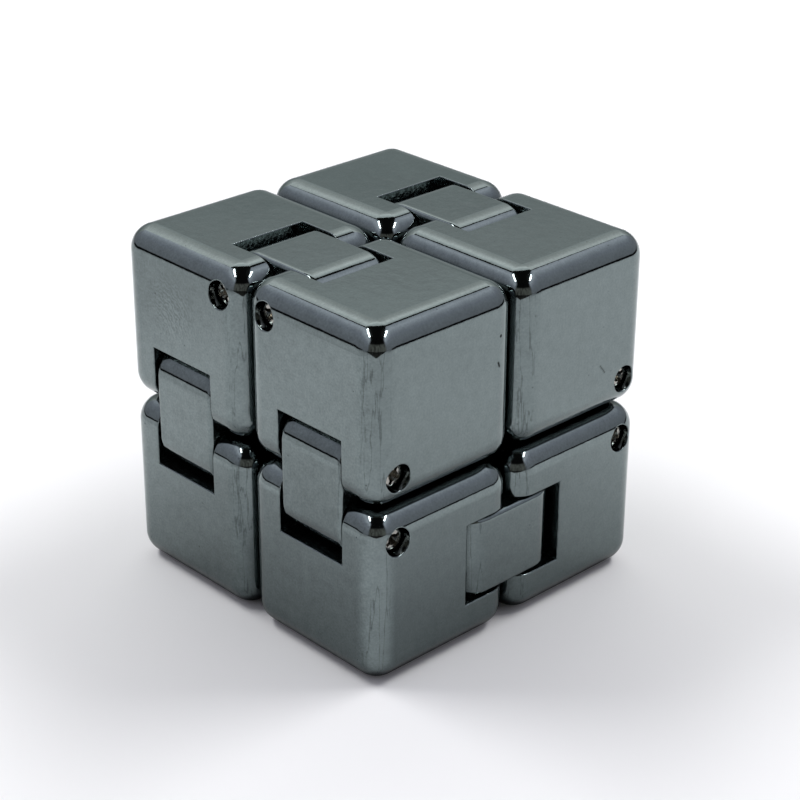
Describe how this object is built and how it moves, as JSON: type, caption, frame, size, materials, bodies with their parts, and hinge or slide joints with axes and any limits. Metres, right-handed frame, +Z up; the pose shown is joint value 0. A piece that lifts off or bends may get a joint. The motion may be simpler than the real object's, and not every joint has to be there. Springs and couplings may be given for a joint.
{
  "type": "folding fidget cube",
  "caption": "Pocket fidget cube of hollow plated cubelets joined in one closed ring by flush hinge links, so it folds open and over on itself.",
  "frame": {"origin": "centre of the closed cube's underside", "axes": "+Z up when the cube rests on its base; -Y is the front, with two upright hinge links; +X is the right side, with one level hinge link low down"},
  "size_m": [0.04, 0.04, 0.04],
  "materials": {
    "plated_shell": "polished",
    "plated_cover": "polished",
    "plated_link": "polished",
    "steel_screw": "satin"
  },
  "bodies": {
    "bottom_left_pair": {"bottom_front_left_shell": "plated_shell", "bottom_front_left_cover": "plated_cover", "bottom_front_left_screws": "steel_screw", "left_link": "plated_link", "bottom_back_left_shell": "plated_shell", "bottom_back_left_cover": "plated_cover", "bottom_back_left_screws": "steel_screw"},
    "front_left_link": {"front_left_link": "plated_link"},
    "top_front_left": {"top_front_left_shell": "plated_shell", "top_front_left_cover": "plated_cover", "top_front_left_screws": "steel_screw"},
    "top_front_link": {"top_front_link": "plated_link"},
    "top_front_right": {"top_front_right_shell": "plated_shell", "top_front_right_cover": "plated_cover", "top_front_right_screws": "steel_screw"},
    "front_right_link": {"front_right_link": "plated_link"},
    "bottom_front_right": {"bottom_front_right_shell": "plated_shell", "bottom_front_right_cover": "plated_cover", "bottom_front_right_screws": "steel_screw"},
    "back_left_link": {"back_left_link": "plated_link"},
    "top_back_left": {"top_back_left_shell": "plated_shell", "top_back_left_cover": "plated_cover", "top_back_left_screws": "steel_screw"},
    "top_back_link": {"top_back_link": "plated_link"},
    "top_back_right": {"top_back_right_shell": "plated_shell", "top_back_right_cover": "plated_cover", "top_back_right_screws": "steel_screw"},
    "back_right_link": {"back_right_link": "plated_link"},
    "bottom_back_right": {"bottom_back_right_shell": "plated_shell", "bottom_back_right_cover": "plated_cover", "bottom_back_right_screws": "steel_screw", "right_link": "plated_link"}
  },
  "joints": [
    {"name": "book_fold", "type": "hinge", "parent": "top_front_left", "child": "top_front_link", "pos_m": [-0.00362, -0.01025, 0.0367], "axis": [0, -1, 0], "range_deg": [0, 90]},
    {"name": "top_front_link_right_pivot", "type": "hinge", "parent": "top_front_link", "child": "top_front_right", "pos_m": [0.00362, -0.01025, 0.0367], "axis": [0, -1, 0], "range_deg": [0, 90]},
    {"name": "top_back_link_left_pivot", "type": "hinge", "parent": "top_back_left", "child": "top_back_link", "pos_m": [-0.00362, 0.01025, 0.0367], "axis": [0, -1, 0], "range_deg": [0, 90]},
    {"name": "top_back_link_right_pivot", "type": "hinge", "parent": "top_back_link", "child": "top_back_right", "pos_m": [0.00362, 0.01025, 0.0367], "axis": [0, -1, 0], "range_deg": [0, 90]},
    {"name": "front_fold", "type": "hinge", "parent": "top_front_left", "child": "front_left_link", "pos_m": [-0.01025, -0.0167, 0.02362], "axis": [-1, 0, 0], "range_deg": [0, 90]},
    {"name": "front_left_link_lower_pivot", "type": "hinge", "parent": "front_left_link", "child": "bottom_left_pair", "pos_m": [-0.01025, -0.0167, 0.01638], "axis": [-1, 0, 0], "range_deg": [0, 90]},
    {"name": "front_right_link_upper_pivot", "type": "hinge", "parent": "top_front_right", "child": "front_right_link", "pos_m": [0.01025, -0.0167, 0.02362], "axis": [-1, 0, 0], "range_deg": [0, 90]},
    {"name": "front_right_link_lower_pivot", "type": "hinge", "parent": "front_right_link", "child": "bottom_front_right", "pos_m": [0.01025, -0.0167, 0.01638], "axis": [-1, 0, 0], "range_deg": [0, 90]},
    {"name": "back_fold", "type": "hinge", "parent": "bottom_left_pair", "child": "back_left_link", "pos_m": [-0.01025, 0.0167, 0.01638], "axis": [-1, 0, 0], "range_deg": [0, 90]},
    {"name": "back_left_link_upper_pivot", "type": "hinge", "parent": "back_left_link", "child": "top_back_left", "pos_m": [-0.01025, 0.0167, 0.02362], "axis": [-1, 0, 0], "range_deg": [0, 90]},
    {"name": "back_right_link_upper_pivot", "type": "hinge", "parent": "top_back_right", "child": "back_right_link", "pos_m": [0.01025, 0.0167, 0.02362], "axis": [1, 0, 0], "range_deg": [0, 90]},
    {"name": "back_right_link_lower_pivot", "type": "hinge", "parent": "back_right_link", "child": "bottom_back_right", "pos_m": [0.01025, 0.0167, 0.01638], "axis": [1, 0, 0], "range_deg": [0, 90]}
  ],
  "couplings": [
    {"joint": "top_front_link_right_pivot", "follows": "book_fold", "ratio": 1},
    {"joint": "top_back_link_left_pivot", "follows": "book_fold", "ratio": 1},
    {"joint": "top_back_link_right_pivot", "follows": "book_fold", "ratio": 1},
    {"joint": "front_left_link_lower_pivot", "follows": "front_fold", "ratio": 1},
    {"joint": "front_right_link_upper_pivot", "follows": "front_fold", "ratio": 1},
    {"joint": "front_right_link_lower_pivot", "follows": "front_fold", "ratio": 1},
    {"joint": "back_left_link_upper_pivot", "follows": "back_fold", "ratio": 1},
    {"joint": "back_right_link_upper_pivot", "follows": "back_fold", "ratio": 1},
    {"joint": "back_right_link_lower_pivot", "follows": "back_fold", "ratio": 1}
  ]
}
